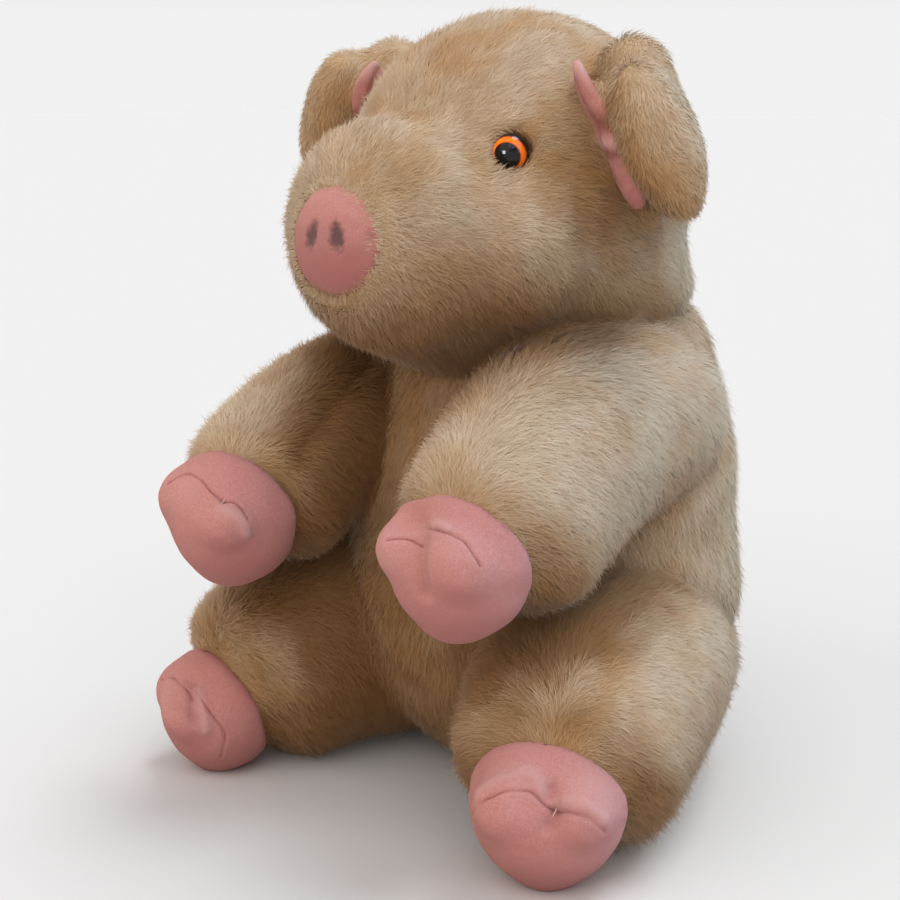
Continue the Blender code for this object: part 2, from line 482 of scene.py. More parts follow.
def pile_depth(label, points):
    """How deep the skin lies under the solids: less towards the velour, the eyes and the muzzle."""
    depth = np.array([DEPTH.get(node, LIMB_DEPTH) for node in FLESH])[label]
    depth *= 0.55 + 0.45 * smooth_step(distance(points, *HOOVES, "snout"), 0.0, 0.010)
    depth *= 0.45 + 0.55 * smooth_step(distance(points, *EYES), 0.0, 0.010)
    beside_lining = 0.50 + 0.50 * smooth_step(distance(points, *LININGS), 0.0, 0.005)
    depth *= np.where(is_on(label, *EARS), 1.0, beside_lining)
    muzzle = np.linalg.norm(points - np.array(centre("snout")), axis=1)
    depth *= 0.85 + 0.15 * smooth_step(muzzle, 0.020, 0.060)
    depth += 0.0010 * np.exp(-distance(points, *HOOVES) / 0.004)
    depth[distance(points, *BARE) < SKIN_VOXEL * 0.6] = VELOUR_DEPTH
    return depth


def shelter(skin, points, normals):
    """How much of the sky over each point is hidden, from 0 to 1. The ground counts for half."""
    tree = BVHTree.FromObject(skin, bpy.context.evaluated_depsgraph_get())
    rays, reach = 20, 0.09
    turn = math.pi * (3 - math.sqrt(5))  # the golden angle, which spreads the rays evenly
    hidden = np.zeros(len(points))
    start = points + normals * 0.001
    for k in range(rays):
        z = 1 - 2 * (k + 0.5) / rays
        r = math.sqrt(1 - z * z)
        aim = unit(normals * 1.02 + np.array([r * math.cos(k * turn), r * math.sin(k * turn), z]))
        for i in range(len(points)):
            if tree.ray_cast(start[i], aim[i], reach)[0] is not None:
                hidden[i] += 1
            elif aim[i, 2] < 0:
                hidden[i] += 0.5
    return hidden / rays


def near_partings(points):
    """How near each point is to a seam that parts the pile, from 0 to 1."""
    parted = np.zeros(len(points))
    for limb in LIMBS:
        gap = off_path(points, parting_of(limb))[0]
        parted = np.maximum(parted, hump(gap, 0.0036) * PARTED[limb])
    return parted


def sink_skin(skin, linings):
    """Moves the skin in by the depth of the pile, and softens the ears' folds and joins.

    The fields it gives back say, for each vertex, which solid it belongs to (label), how far it is from
    each solid (away), the depth, and how near it is to a parted seam and to a crease between solids.
    """
    points, normals, edges = arrays(skin.data)
    away = np.stack([distance(points, node) for node in FLESH], axis=1)
    label = away.argmin(axis=1)
    ears = is_on(label, *EARS)
    depth = spread(pile_depth(label, points), edges, 3)
    beside = spread(1.0 * ears, edges, 6)
    depth += (spread(depth, edges, 24) - depth) * 4 * beside * (1 - beside)
    parted = near_partings(points)
    body = [k for k, node in enumerate(FLESH) if node not in EARS]
    first, second = np.sort(away[:, body], axis=1)[:, :2].T
    crease = hump(second - first, 0.0030)
    points = points - normals * (depth + SEAM_DEPTH * parted + CREASE_DEPTH * crease)[:, None]
    points[:, 2] = np.maximum(points[:, 2], 0.0012)
    points = spread(points, edges, 2)
    fold = spread(ears * smooth_step(points[:, 2], 0.222, 0.240), edges, 5)[:, None]
    points = points * (1 - fold) + spread(points, edges, 14) * fold
    join = 4 * beside * (1 - beside) * smooth_step(distance(points, *linings), 0.006, 0.014)
    points = points * (1 - join[:, None]) + spread(points, edges, 40) * join[:, None]
    put_points(skin.data, points)
    return {"label": label, "away": away, "depth": depth, "parted": parted, "crease": crease}


def under_velour(points, linings, hooves):
    """Whether velour covers each point, so that no tuft grows there."""
    sunk = distance(points, *FLESH) > 0.002
    covered = inside(points, *linings) | inside(points, "snout") & sunk
    covered |= inside(points, *hooves) & (sunk | (distance(points, *hooves) > 0.0015))
    return covered


def ochre_and_shade_of(fields, points, hidden):
    """How much ochre the pile takes: its own colour along the seams, in patches, on the crown and ears and
    beside the hooves (there partly painted light bounced off the velour), and painted shade on the trunk,
    the hind legs and where it is sheltered.
    """
    label = fields["label"]
    patches = lattice_noise(points, 0.012, 5) + 0.8 * lattice_noise(points, 0.005, 13)
    patches = smooth_step(patches, -0.4, 0.8)
    crown = is_on(label, "head") * smooth_step(points[:, 2], 0.195, 0.235)
    ochre_and_shade = 0.45 * np.exp(-distance(points, *HOOVES) / 0.0045) + 0.8 * np.sqrt(fields["parted"])
    ochre_and_shade += (0.30 + 0.25 * crown) * patches
    ochre_and_shade += 0.25 * crown + 0.20 * is_on(label, *EARS)
    ochre_and_shade += 0.15 * is_on(label, "trunk", "hind_leg_left", "hind_leg_right")
    return np.clip(ochre_and_shade + 0.45 * smooth_step(hidden, 0.06, 0.40), 0, 1)


def painted_shade_of(fields, points, hidden):
    """How much painted shade the pile takes: in sheltered places, creases and parted seams, less by the
    ears, the snout and the breast.
    """
    label = fields["label"]
    shade = smooth_step(hidden, 0.08, 0.60) * np.array([SHADED.get(node, 1.0) for node in FLESH])[label]
    shade = np.clip(shade + 0.2 * fields["crease"] + 0.3 * fields["parted"], 0, 1)
    to_ears = fields["away"][:, [FLESH.index(node) for node in EARS]].min(axis=1)
    shade *= 1 - 0.6 * np.exp(-to_ears / 0.006)
    shade *= 1 - 0.5 * is_on(label, "trunk") * smooth_step(points[:, 2], 0.060, 0.105)
    return shade * (0.4 + 0.6 * smooth_step(distance(points, "snout"), 0.0, 0.008))


def make_skin(linings, hooves):
    """The skin, and the fields that say how the pile grows at each of its vertices."""
    skin = soft_copy("skin", (*FLESH, *BARE), SKIN_VOXEL, relax=4)
    fields = sink_skin(skin, linings)
    points, normals, edges = arrays(skin.data)
    label = fields["label"]
    flow = unit(spread(unit(lie_of_coat(label, points, normals)), edges, 10))
    place, lining = nearest(points, *linings)
    over = is_on(label, *EARS) * np.exp(-lining / 0.005)
    fields["flow"] = unit(flow + unit(place - points) * over[:, None] * 1.1)
    fields["velour"] = distance(points, *HOOVES, "snout")
    to_velour = np.minimum(fields["velour"], np.maximum(lining - 0.0008, 0))
    fields["open"] = np.where(under_velour(points, linings, hooves), 0, to_velour + OPEN)
    hidden = spread(shelter(skin, points, normals), edges, 5)
    # ochre: the roots' colour in places, elsewhere painted shade and painted bounced light
    fields["ochre_and_shade"] = ochre_and_shade_of(fields, points, hidden)
    # painted shade: darker where the sky is hidden, in creases and along parted seams
    fields["shade"] = painted_shade_of(fields, points, hidden)
    fields["density"] = np.where(is_on(label, "head"), 1.5, 1.0)
    # the skin takes the same ochre marks and painted shade as the coat
    for tint_name in OCHRE_AND_SHADE_MARKS:
        give(skin.data, tint_name, fields[tint_name])
    return skin, fields


# ---------------------------------------------------------------- coat

def roots_on(skin, fields, rng):
    """Evenly scattered roots: their place, normal, solid and the fields there."""
    mesh = skin.data
    mesh.calc_loop_triangles()
    corners = np.empty(len(mesh.loop_triangles) * 3, np.int32)
    mesh.loop_triangles.foreach_get("vertices", corners)
    corners = corners.reshape(-1, 3)
    points, normals, _ = arrays(mesh)
    a, b, c = (points[corners[:, k]] for k in range(3))
    area = np.linalg.norm(np.cross(b - a, c - a), axis=1) / 2
    area = area * fields["density"][corners].mean(axis=1)
    area[fields["open"][corners].max(axis=1) <= 0] = 0
    steps = np.cumsum(area) / area.sum()
    pick = np.searchsorted(steps, (np.arange(TUFTS) + rng.random(TUFTS)) / TUFTS)
    pick = np.minimum(pick, len(corners) - 1)
    u, v = rng.random(TUFTS), rng.random(TUFTS)
    flip = u + v > 1
    u[flip], v[flip] = 1 - u[flip], 1 - v[flip]
    weights = np.stack([1 - u - v, u, v], axis=1)
    chosen = corners[pick]

    def at_root(values):
        if values.ndim == 1:
            return (values[chosen] * weights).sum(axis=1)
        return (values[chosen] * weights[:, :, None]).sum(axis=1)

    roots = {name: at_root(fields[name]) for name in ("depth", "ochre_and_shade", "flow", "open", "velour", "shade")}
    roots["place"] = at_root(points)
    roots["normal"] = unit(at_root(normals))
    roots["label"] = fields["label"][chosen[:, 0]]
    return roots


def turned_about(v, axis, angle):
    """Rows of v turned about the rows of axis, which are at right angles to them."""
    return v * np.cos(angle)[:, None] + np.cross(axis, v) * np.sin(angle)[:, None]


def tuft_lies(roots, ears, rng):
    """The way each tuft lies on the skin: with the pile, but in swirls and a little at random."""
    place, normal, flow = roots["place"], roots["normal"], roots["flow"]
    lie = unit(flow - (flow * normal).sum(axis=1)[:, None] * normal)
    swirl = 0.28 * lattice_noise(place, 0.016, 1) + (0.20 + 0.15 * ears) * lattice_noise(place, 0.006, 2)
    return turned_about(lie, normal, swirl + rng.normal(0, SWERVE_SPREAD, len(place)))


def tuft_lengths(roots, ears, rim, rng):
    """(lengths, strays): how long each tuft is, and which few stand out from the rest."""
    count = len(ears)
    length = SHORTEST + np.maximum(roots["depth"], 0.0012) * LENGTH_FOR_DEPTH
    length *= 1 + 0.08 * lattice_noise(roots["place"], 0.007, 3)
    length *= rng.uniform(0.72, 1.15, count)
    stray = (rng.random(count) < STRAYS) & ~ears
    length[stray] *= 1.12
    length *= (1 - 0.5 * rim) * np.where(ears, EAR_LENGTH, 1.0)
    return length, stray


def tuft_tones(roots, rng):
    """How light each tuft is, from 0 to 1."""
    tone = 0.60 * rng.uniform(0, 1, len(roots["place"]))
    tone += 0.4 * (0.5 + 0.5 * lattice_noise(roots["place"], 0.0035, 12))
    contrast = np.array([MOTTLED.get(node, LIMB_MOTTLED) for node in FLESH])[roots["label"]]
    return np.clip(0.5 + (tone - 0.5) * contrast, 0, 1)


def grow(roots, rng):
    """The tufts: three places along each, its width's direction, and its tone."""
    place, normal = roots["place"], roots["normal"]
    count = len(place)
    ears = is_on(roots["label"], *EARS)
    rim = hump(roots["velour"], 0.0022)
    lie = tuft_lies(roots, ears, rng)
    length, stray = tuft_lengths(roots, ears, rim, rng)
    lie[rng.random(count) < 0.4 * rim] *= -1
    lift = LIFT + rng.normal(0, LIFT_SPREAD, count) + 0.06 * lattice_noise(place, 0.007, 4)
    lift += stray * 0.25 + rim * RIM_LIFT + ears * EAR_LIFT
    bend = BEND + rng.normal(0, BEND_SPREAD, count) + rim * RIM_LIFT + stray * 0.15
    start = lie * np.cos(lift)[:, None] + normal * np.sin(lift)[:, None]
    end = lie * np.cos(bend)[:, None] + normal * np.sin(bend)[:, None] + DOWN * DROOP
    foot = place - normal * FOOT_DEPTH
    knee = foot + unit(start) * length[:, None] * 0.5
    tip = knee + unit(end) * length[:, None] * 0.5
    side = turned_about(np.cross(lie, normal), lie, rng.normal(0, TWIST_SPREAD, count))
    return {"foot": foot, "knee": knee, "tip": tip, "side": side, "tone": tuft_tones(roots, rng)}


def unwrap(place, normal):
    """Each root's place on an unwrap of the skin: one chart for each of six directions."""
    axis = np.abs(normal).argmax(axis=1)
    chart = axis * 2 + (normal[np.arange(len(normal)), axis] < 0)
    low, size = place.min(axis=0), np.ptp(place, axis=0).max()
    scaled = (place - low) / size
    u = np.where(axis == 0, scaled[:, 1], scaled[:, 0])
    v = np.where(axis == 2, scaled[:, 1], scaled[:, 2])
    corner = np.stack([chart % 3, chart // 3], axis=1)
    margin = 0.03
    return (corner + margin + (1 - 2 * margin) * np.stack([u, v], axis=1)) * np.array([1 / 3, 1 / 2])


def kites(name, foot, knee, tip, half):
    """A smooth mesh of kites: two triangles each, pointed at the foot and the tip, wide at the knee."""
    count = len(foot)
    points = np.stack([foot, knee + half, knee - half, tip], axis=1)
    points[:, :, 2] = np.maximum(points[:, :, 2], FLOOR_GAP)
    corners = np.arange(count)[:, None] * 4 + np.array([0, 1, 2, 2, 1, 3])
    mesh = bpy.data.meshes.new(name)
    mesh.vertices.add(count * 4)
    mesh.vertices.foreach_set("co", points.astype(np.float32).ravel())
    mesh.loops.add(count * 6)
    mesh.loops.foreach_set("vertex_index", corners.astype(np.int32).ravel())
    mesh.polygons.add(count * 2)
    mesh.polygons.foreach_set("loop_start", np.arange(0, count * 6, 3, dtype=np.int32))
    mesh.update(calc_edges=True)
    mesh.polygons.foreach_set("use_smooth", np.ones(count * 2, bool))
    return mesh


def coat_piece(name, tufts, roots, chosen, look):
    """One piece of the coat, unwrapped and marked. Its tufts take the light almost as the skin would."""
    foot, knee, tip, side = (tufts[part][chosen] for part in ("foot", "knee", "tip", "side"))
    normal = roots["normal"][chosen]
    mesh = kites(name, foot, knee, tip, side * TUFT_WIDTH / 2)
    patch = 0.003 * np.array([[0, -0.5], [0.4, 0], [-0.4, 0], [-0.4, 0], [0.4, 0], [0, 0.5]])
    uv = unwrap(roots["place"][chosen], normal)[:, None, :] + patch
    mesh.uv_layers.new(name="OFBake").data.foreach_set("uv", uv.astype(np.float32).ravel())
    give(mesh, "along", np.tile([0, 0.5, 0.5, 1], len(chosen)))
    give(mesh, "tone", np.repeat(tufts["tone"][chosen], 4))
    for tint_name in OCHRE_AND_SHADE_MARKS:
        give(mesh, tint_name, np.repeat(roots[tint_name][chosen], 4))
    own = unit(np.cross(side, tip - foot))
    shown = unit(0.9 * normal + 0.1 * own)
    mesh.normals_split_custom_set_from_vertices(np.repeat(shown, 4, axis=0))
    piece = finish_piece(new_object(name, mesh), look, "fur")
    piece.visible_shadow = False  # real fibres are so thin and pale that they let light through


def make_coat(skin, fields, look):
    """The coat, in pieces: each solid's tufts, cut across from front to back where they are too many."""
    rng = np.random.default_rng(11)
    roots = roots_on(skin, fields, rng)
    clear = roots["open"] > LEAST_OPEN
    tufts = grow(roots, rng)
    for k, node in enumerate(FLESH):
        mine = np.flatnonzero((roots["label"] == k) & clear)
        parts = math.ceil(len(mine) * 2 / MOST_TRIANGLES)
        order = mine[np.argsort(roots["place"][mine] @ BACK)]
        for i, chosen in enumerate(np.array_split(order, parts)):
            coat_piece(f"coat_{node}_{i}", tufts, roots, chosen, look)


# ---------------------------------------------------------------- velour pieces

def give_velour(piece, node, fill, look, shade_from=-0.35, deep=0.0, **marks):
    """Finishes a velour piece with its marks. It takes painted shade where it turns under, or as much as
    deep gives where that is more.
    """
    up = arrays(piece.data)[1][:, 2]
    # painted shade on the undersides, or where deep says, as under a cuff
    under = 0.9 * smooth_step(-up, shade_from, shade_from + 1.2)
    give(piece.data, "under", np.maximum(under, deep))
    for name, values in marks.items():
        give(piece.data, name, values)
    finish_piece(piece, look, "velour", node)


def off_sewing(out, radius, at):
    """How far each hoof point is from a spot of its sewing, or from the curve through a list of spots."""
    if isinstance(at, tuple):
        return np.linalg.norm(out - np.array(heading(*at)), axis=1) * radius
    return off_path(out, path_through([heading(*spot) for spot in at]))[0] * radius


def make_hoof(node, look):
    """A stuffed hoof: toes, clefts and sewn seams, and a bulge beside its limb's pile, with painted
    highlights on raised parts and painted shade in hollows and under the cuff.
    """
    piece = soft_copy(node + "_cover", [node], voxel=0.0005, relax=6)
    points, normals, edges = arrays(piece.data)
    points = spread(points, edges, times=140)
    out = points - np.array(centre(node))
    radius = np.linalg.norm(out, axis=1)
    out = unit(out)
    cuff = distance(points, HOOF_LIMB[node])
    push = 0.0008 + 0.00018 * lattice_noise(points, 0.006, 6) + 0.00008 * lattice_noise(points, 0.0022, 14)
    push += BULGE.get(node, USUAL_BULGE) * np.exp(-cuff / 0.007) * smooth_step(out[:, 2], -0.3, 0.4)
    # painted shade in the crease where the hoof meets its limb
    marks = {"seam": 0.6 * hump(cuff, 0.0010), "painted_hollow_shade": np.zeros(len(points)), "pale": np.zeros(len(points))}
    for part, (height, width, mark, strength, mark_width) in MODELLED.items():
        for at in SEWING[node][part]:
            gap = off_sewing(out, radius, at)
            push += height * hump(gap, width)
            marks[mark] = np.maximum(marks[mark], strength * hump(gap, mark_width))
    broken = smooth_step(lattice_noise(points, 0.0055, 15), -0.7, 0.3)
    # the sewn seams: dark lines, partly painted shade in their grooves
    for line in SEWING[node]["seams"]:
        gap = off_sewing(out, radius, line)
        push += 0.0002 * hump(gap - 0.0013, 0.0010) - 0.0005 * hump(gap, 0.00045)
        marks["seam"] = np.maximum(marks["seam"], (0.35 + 0.5 * broken) * hump(gap, 0.00030))
    points = points + normals * push[:, None]
    points[:, 2] = np.maximum(points[:, 2], FLOOR_GAP)
    put_points(piece.data, points)
    # painted shade beside the limb's cuff
    give_velour(piece, node, 0.8, look, deep=0.40 * np.exp(-cuff / 0.006), **marks)
    return piece


def nostrils(points, across, up):
    """How far each point of the pad is inside a nostril, from 0 to 1. The two lean together at the top."""
    middle, apart, rise = 0.0034, 0.0047, 0.0034
    wide, tall = 0.0027, 0.0052
    spot = np.zeros(len(points))
    for side in (-1, 1):
        lean = side * 0.16 * (up - 0.0035)
        x = (across - middle - side * apart + lean) / wide
        y = (up - rise) / tall
        slim = 1 - 0.25 * np.clip(y, -1, 1)
        gap = np.hypot(x / slim, y)
        gap += 0.22 * lattice_noise(points, 0.0009, 7)
        spot = np.maximum(spot, 0.9 * (1 - smooth_step(gap, 0.40, 1.15)))
    return spot


def make_snout(look):
    """The snout pad: a soft dome with a wrinkled edge, and a dark dent for each nostril."""
    piece = soft_copy("snout_cover", ["snout"], voxel=0.0005, relax=6)
    points, normals, edges = arrays(piece.data)
    points = spread(points, edges, times=40)
    out = points - np.array(centre("snout"))
    across, up, deep = out @ LEFT, out[:, 2], out @ BACK
    reach = np.hypot(across, up) / half_box("snout").z
    front = smooth_step(-deep, 0.0, 0.006)
    points = points + BACK * (0.0038 * np.minimum(reach, 1.1) ** 2.5 * front)[:, None]
    points = points + (across[:, None] * LEFT + up[:, None] * np.array([0, 0, 1.0])) * [[0.10, 0.10, 0.05]]
    spot = nostrils(points, across, up) * front
    wrinkle = 0.0004 * lattice_noise(points, 0.004, 8) * smooth_step(reach, 0.5, 1.0)
    points = points + normals * (wrinkle - 0.0009 * spot)[:, None]
    put_points(piece.data, points)
    # painted shade on the pad's lower part
    give_velour(piece, "snout", 0.8, look, shade_from=-0.75, spot=spot)


def lay_strip(node, points, height):
    """A lining's points, drawn towards a shallow arch, its foot brought forward and its ends drawn in."""
    inward = np.array((LEFTWARD * side_of(node) * 0.59 + BACKWARD * 0.81).normalized())
    deep = points @ inward
    deep -= np.polyval(np.polyfit(height, deep, 1), height)
    front = -0.0045 * np.sqrt(np.maximum(1 - height**2, 0))
    slim = 0.20 + 0.35 * smooth_step(height, 0.15, 0.60) - 0.12 * smooth_step(-height, 0.20, 0.50)
    points = points - inward * ((deep - front) * slim + 0.0035 * smooth_step(-height, 0.3, 1.0))[:, None]
    points[:, 2] -= 0.07 * (points[:, 2] - centre(node).z) * smooth_step(np.abs(height), 0.3, 1.0)
    return points


def make_lining(node, look):
    """The inside of an ear: a strip with a raised fold across it and hollows above and below, with painted
    highlight on the fold and tip and painted shade in the hollows.
    """
    piece = soft_copy(node + "_cover", [node], voxel=0.0006, relax=4)
    points, normals, _ = arrays(piece.data)
    middle, half = centre(node), half_box(node)
    height = (points[:, 2] - middle.z) / half.z
    points = lay_strip(node, points, height)
    lean = (points[:, 0] - middle.x) * side_of(node) / half.x + 0.9 * height
    fold = hump(height + 0.09, 0.09)
    hollow = hump(height - 0.13, 0.13) * smooth_step(lean, -0.35, 0.05)
    lower = hump(height + 0.27, 0.06) * smooth_step(lean, -0.50, -0.10)
    crease = hump(lean + 0.16, 0.09) * smooth_step(height, -0.5, 0.0)
    tip = smooth_step(height, 0.62, 0.95)
    push = 0.0010 + 0.0007 * fold - 0.0013 * hollow - 0.0007 * lower - 0.0009 * crease
    push += 0.0003 * lattice_noise(points, 0.004, 9)
    put_points(piece.data, points + normals * push[:, None])
    # painted shade in the hollows and the crease, painted highlight on the fold and the tip
    seam = np.clip(0.9 * hollow + 0.5 * lower + 0.45 * crease, 0, 1)
    give_velour(piece, node, 0.5, look, seam=seam, pale=np.clip(0.8 * tip + 0.7 * fold, 0, 1))
    return piece


def make_tail(look):
    """The curled tail, with a slightly uneven pile."""
    piece = soft_copy("tail_cover", ["tail"], voxel=0.0006, relax=4)
    points, normals, _ = arrays(piece.data)
    put_points(piece.data, points + normals * (0.0002 * lattice_noise(points, 0.004, 10))[:, None])
    give_velour(piece, "tail", 0.8, look)


def thread_loop(name, place, aim):
    """A short arch of thread at this place, with aim pointing out of the surface."""
    half_length, half_thick = 0.0017, 0.00018
    turns, sides = 10, 8
    side = aim.cross(Vector((0, 0, 1))).normalized()
    along = (aim.cross(side) * 0.8 + side * 0.5).normalized()
    bm = bmesh.new()
    rings = []
    for k in range(turns + 1):
        t = 2 * k / turns - 1
        middle = place + along * half_length * t + aim * (0.0003 - 0.0012 * t * t)
        ring = []
        for j in range(sides):
            angle = 2 * math.pi * j / sides
            off = side * math.cos(angle) + aim * math.sin(angle)
            ring.append(bm.verts.new(middle + off * half_thick * (1.05 - 0.4 * t * t)))
        rings.append(ring)
    for ring, further in zip(rings, rings[1:]):
        for j in range(sides):
            bm.faces.new((ring[j], ring[(j + 1) % sides], further[(j + 1) % sides], further[j]))
    bm.faces.new(reversed(rings[0]))
    bm.faces.new(rings[-1])
    bmesh.ops.recalc_face_normals(bm, faces=bm.faces)
    return object_from(bm, name)


def make_stitches(look):
    """The pale thread that draws a hoof in, over each pinch."""
    for node in HOOVES:
        for at in SEWING[node]["stitches"]:
            aim = heading(*at)
            place = tree_of(node).ray_cast(centre(node) + aim * 0.06, -aim)[0]
            loop = thread_loop(node + "_stitch", place, aim)
            loop.data.shade_smooth()
            finish_piece(loop, look, "velour")


# ---------------------------------------------------------------- eyes

def make_eye(node, look):
    """A glossy ball, domed in front: a black pupil in an amber iris, aimed ahead, outward and down."""
    aim = (-BACKWARD * 0.90 + LEFTWARD * side_of(node) * 0.42 + Vector((0, 0, -0.30))).normalized()
    turn = aim.to_track_quat("Z", "Y")
    radius = max(half_box(node))
    bm = bmesh.new()
    bmesh.ops.create_uvsphere(bm, u_segments=96, v_segments=64, radius=1)
    offs = []
    for v in bm.verts:
        off = math.acos(max(-1, min(1, v.co.z)))
        offs.append(off / math.pi)
        dome = 1 + 0.035 * math.exp(-(off / 0.8) ** 2)
        v.co = centre(node) + turn @ (v.co * radius * dome)
    ball = object_from(bm, node + "_ball")
    ball.data.shade_smooth()
    give(ball.data, "off", np.array(offs))
    return finish_piece(ball, look, "eye", node)


# ---------------------------------------------------------------- materials

# Colours, in linear light
# The fibres' ochre roots and pale tips; the darker roots also stand as painted shade deep in the pile, as
# the tufts cast no shadows
FUR_ROOT = (0.47, 0.30, 0.145)
FUR_TIP = (0.66, 0.53, 0.385)
# Ochre: the roots' own colour, also used as painted shade and painted light bounced off the velour
FUR_OCHRE_AND_SHADE = (0.52, 0.29, 0.120)
# Painted shade for sheltered places, creases and parted seams
FUR_SHADE = (0.26, 0.122, 0.040)
VELOUR = (0.75, 0.275, 0.225)
VELOUR_PALE = (0.82, 0.375, 0.325)
# Painted highlight for raised velour
VELOUR_HIGHLIGHT = (0.80, 0.450, 0.400)
# Painted shade for velour that turns under or lies under a cuff
VELOUR_UNDERSIDE_SHADE = (0.47, 0.165, 0.140)
# Dark seam lines, also painted shade in creases and hollows
VELOUR_SEAM_AND_SHADE = (0.26, 0.055, 0.040)
# Painted shade in dents, clefts and pinches
VELOUR_HOLLOW_SHADE = (0.50, 0.240, 0.225)
NOSTRIL = (0.060, 0.034, 0.032)
NOSTRIL_FLECK = (0.27, 0.15, 0.145)
PUPIL = (0.004, 0.003, 0.003)
EMBER = (0.42, 0.045, 0.002)
AMBER = (0.88, 0.16, 0.004)
FLOOR_COLOUR = (0.804, 0.808, 0.810, 1)


def new_material(name):
    """(material, its node tree, its shader)"""
    made = bpy.data.materials.new(name)
    made.use_nodes = True
    return made, made.node_tree, made.node_tree.nodes["Principled BSDF"]


def tune(node, settings):
    """Sets a node's inputs, by name."""
    for name, value in settings.items():
        node.inputs[name].default_value = value


def attribute(tree, name):
    node = tree.nodes.new("ShaderNodeAttribute")
    node.attribute_name = name
    return node.outputs["Fac"]


def noise(tree, scale, detail=2.0):
    node = tree.nodes.new("ShaderNodeTexNoise")
    node.inputs["Scale"].default_value = scale
    node.inputs["Detail"].default_value = detail
    return node.outputs["Fac"]


def ramp(tree, value, stops):
    """The colour at this value, between stops of (value, colour)."""
    node = tree.nodes.new("ShaderNodeValToRGB")
    tree.links.new(value, node.inputs["Fac"])
    elements = node.color_ramp.elements
    for element, (at, colour) in zip(elements, stops):
        element.position = at
        element.color = (*colour, 1)
    for at, colour in stops[2:]:
        elements.new(at).color = (*colour, 1)
    return node.outputs["Color"]


def mixed(tree, share, first, second, blend="MIX"):
    node = tree.nodes.new("ShaderNodeMix")
    node.data_type = "RGBA"
    node.blend_type = blend
    for socket, value in (("Factor", share), ("A", first), ("B", second)):
        place = next(s for s in node.inputs if s.name == socket and s.enabled)
        if isinstance(value, bpy.types.NodeSocket):
            tree.links.new(value, place)
        elif isinstance(value, tuple):
            place.default_value = (*value, 1)
        else:
            place.default_value = value
    return next(s for s in node.outputs if s.enabled)


def toned(tree, colour, value, stops):
    """This colour times the one that the stops give for a value."""
    return mixed(tree, 1.0, colour, ramp(tree, value, stops), "MULTIPLY")


def painted(tree, colour, mark, over, strength=1.0):
    """This colour with another over it, as far as the mark on the mesh and this strength say."""
    node = tree.nodes.new("ShaderNodeMath")
    node.operation = "MULTIPLY"
    tree.links.new(attribute(tree, mark), node.inputs[0])
    node.inputs[1].default_value = strength
    return mixed(tree, node.outputs[0], colour, over)


def with_ochre_and_shade(tree, colour):
    """This colour with the coat's ochre marks, partly painted shade, and painted shade in sheltered places,
    creases and seams.
    """
    colour = painted(tree, colour, "ochre_and_shade", FUR_OCHRE_AND_SHADE)
    return painted(tree, colour, "shade", FUR_SHADE, 0.9)


def fur_material():
    made, tree, shader = new_material("fur")
    body = ramp(tree, attribute(tree, "along"), [(0.0, FUR_ROOT), (0.8, FUR_TIP)])
    body = with_ochre_and_shade(tree, body)
    stops = [(0.0, (0.80, 0.765, 0.72)), (0.75, (1.04, 1.04, 1.04)), (1.0, (1.20, 1.25, 1.30))]
    tree.links.new(toned(tree, body, attribute(tree, "tone"), stops), shader.inputs["Base Color"])
    tune(shader, {"Roughness": 0.7, "Specular IOR Level": 0.2})
    tune(shader, {"Sheen Weight": 0.25, "Sheen Roughness": 0.4, "Sheen Tint": (1, 0.93, 0.84, 1)})
    return made


def skin_material():
    """The backing that the tufts grow from, with the coat's ochre marks and painted shade."""
    made, tree, shader = new_material("backing")
    colour = ramp(tree, noise(tree, 900), [(0.3, (0.50, 0.35, 0.19)), (0.7, (0.60, 0.44, 0.27))])
    tree.links.new(with_ochre_and_shade(tree, colour), shader.inputs["Base Color"])
    tune(shader, {"Roughness": 0.95})
    return made


def velour_material():
    """Pink velour with a mottled nap, the nostrils' print, and the painted highlights and painted shade on
    its pieces.
    """
    made, tree, shader = new_material("velour")
    colour = ramp(tree, noise(tree, 70, 5), [(0.35, VELOUR), (0.70, VELOUR_PALE)])
    grain = [(0.3, (0.76, 0.70, 0.69)), (0.7, (1.14, 1.21, 1.22))]
    colour = toned(tree, colour, noise(tree, 1000, 4), grain)
    mottle = [(0.35, (0.86, 0.83, 0.83)), (0.65, (1.06, 1.10, 1.11))]
    colour = toned(tree, colour, noise(tree, 380, 2), mottle)
    # painted shade where the velour turns under or lies under a cuff
    colour = painted(tree, colour, "under", VELOUR_UNDERSIDE_SHADE)
    # painted highlight on raised toes, ridges, folds and the lining's tip
    colour = painted(tree, colour, "pale", VELOUR_HIGHLIGHT)
    # painted shade in dents, clefts and pinches
    colour = painted(tree, colour, "painted_hollow_shade", VELOUR_HOLLOW_SHADE, 0.5)
    # dark seam lines, and painted shade in creases and hollows
    colour = painted(tree, colour, "seam", VELOUR_SEAM_AND_SHADE, 0.8)
    flecks = ramp(tree, noise(tree, 1100, 3), [(0.35, NOSTRIL), (0.70, NOSTRIL_FLECK)])
    colour = painted(tree, colour, "spot", flecks)
    tree.links.new(colour, shader.inputs["Base Color"])
    tune(shader, {"Roughness": 0.9, "Specular IOR Level": 0.15})
    tune(shader, {"Sheen Weight": 0.2, "Sheen Roughness": 0.35, "Sheen Tint": (1, 0.82, 0.82, 1)})
    bump = tree.nodes.new("ShaderNodeBump")
    tune(bump, {"Strength": 0.6, "Distance": 0.0006})
    tree.links.new(noise(tree, 1800, 3), bump.inputs["Height"])
    tree.links.new(bump.outputs[0], shader.inputs["Normal"])
    return made


def thread_material():
    made, tree, shader = new_material("thread")
    colour = ramp(tree, noise(tree, 3000), [(0.3, (0.66, 0.46, 0.42)), (0.7, (0.80, 0.66, 0.62))])
    tree.links.new(colour, shader.inputs["Base Color"])
    tune(shader, {"Roughness": 0.7})
    return made


